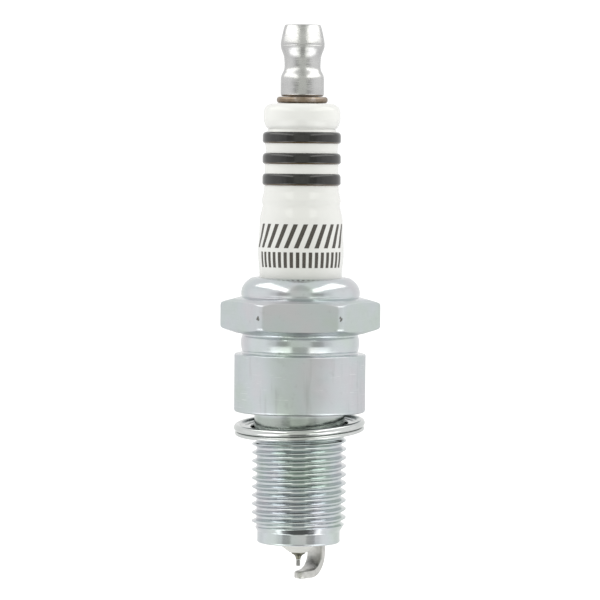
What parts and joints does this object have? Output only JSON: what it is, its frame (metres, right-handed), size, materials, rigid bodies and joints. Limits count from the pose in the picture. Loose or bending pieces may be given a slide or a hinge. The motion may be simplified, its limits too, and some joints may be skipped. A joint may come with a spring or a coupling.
{
  "type": "spark plug",
  "caption": "Resistor spark plug for a 14 mm thread of 19 mm reach, with a hexagon, a ribbed ceramic insulator, a screw-on terminal nut, a loose gasket and a fine-wire tip.",
  "frame": {"origin": "on the plug's axis, in the plane of the shell's gasket seat", "axes": "+Z along the axis towards the terminal; a flat of the hexagon faces -Y; the ground electrode is rooted 60 degrees from +X towards +Y"},
  "size_m": [0.0234, 0.0208, 0.0812],
  "materials": {
    "zinc_plate": "bright zinc plate, light scratches",
    "glazed_alumina": "gloss glaze",
    "dark_glaze": "fired dark glaze, gloss",
    "mild_steel": "plain steel",
    "talc": "pressed powder, matte",
    "tinted_steel": "heat-tinted steel",
    "nickel_plate": "satin nickel plate",
    "copper_glass": "fused glass with copper powder",
    "carbon_glass": "fused glass with carbon",
    "sheath_nickel": "dull nickel alloy",
    "copper": "plain copper",
    "iridium": "ground bright",
    "nickel_alloy": "satin nickel alloy",
    "gasket_steel": "bright plated sheet steel"
  },
  "bodies": {
    "plug": {"shell": "zinc_plate", "insulator": "glazed_alumina", "glaze_band_upper": "dark_glaze", "glaze_band_middle": "dark_glaze", "glaze_band_lower": "dark_glaze", "packing_ring_upper": "mild_steel", "talc_seal": "talc", "packing_ring_lower": "mild_steel", "seat_packing": "mild_steel", "terminal_stud": "tinted_steel", "glass_seal_upper": "copper_glass", "resistor": "carbon_glass", "glass_seal_lower": "copper_glass", "centre_electrode": "sheath_nickel", "centre_electrode_core": "copper", "tip_weld": "nickel_alloy", "iridium_tip": "iridium", "ground_electrode": "nickel_alloy", "ground_weld": "nickel_alloy"},
    "gasket": {"gasket": "gasket_steel"},
    "terminal_nut": {"terminal_nut": "nickel_plate"}
  },
  "joints": [
    {"name": "gasket_close", "type": "hinge", "parent": "plug", "child": "gasket", "pos_m": [0.00864, 0.01182, -0.00015], "axis": [-0.8074, 0.59, 0], "range_deg": [0, 4.58]},
    {"name": "terminal_nut_removal", "type": "slide", "parent": "plug", "child": "terminal_nut", "axis": [0, 0, 1], "range_m": [0, 0.011]}
  ]
}
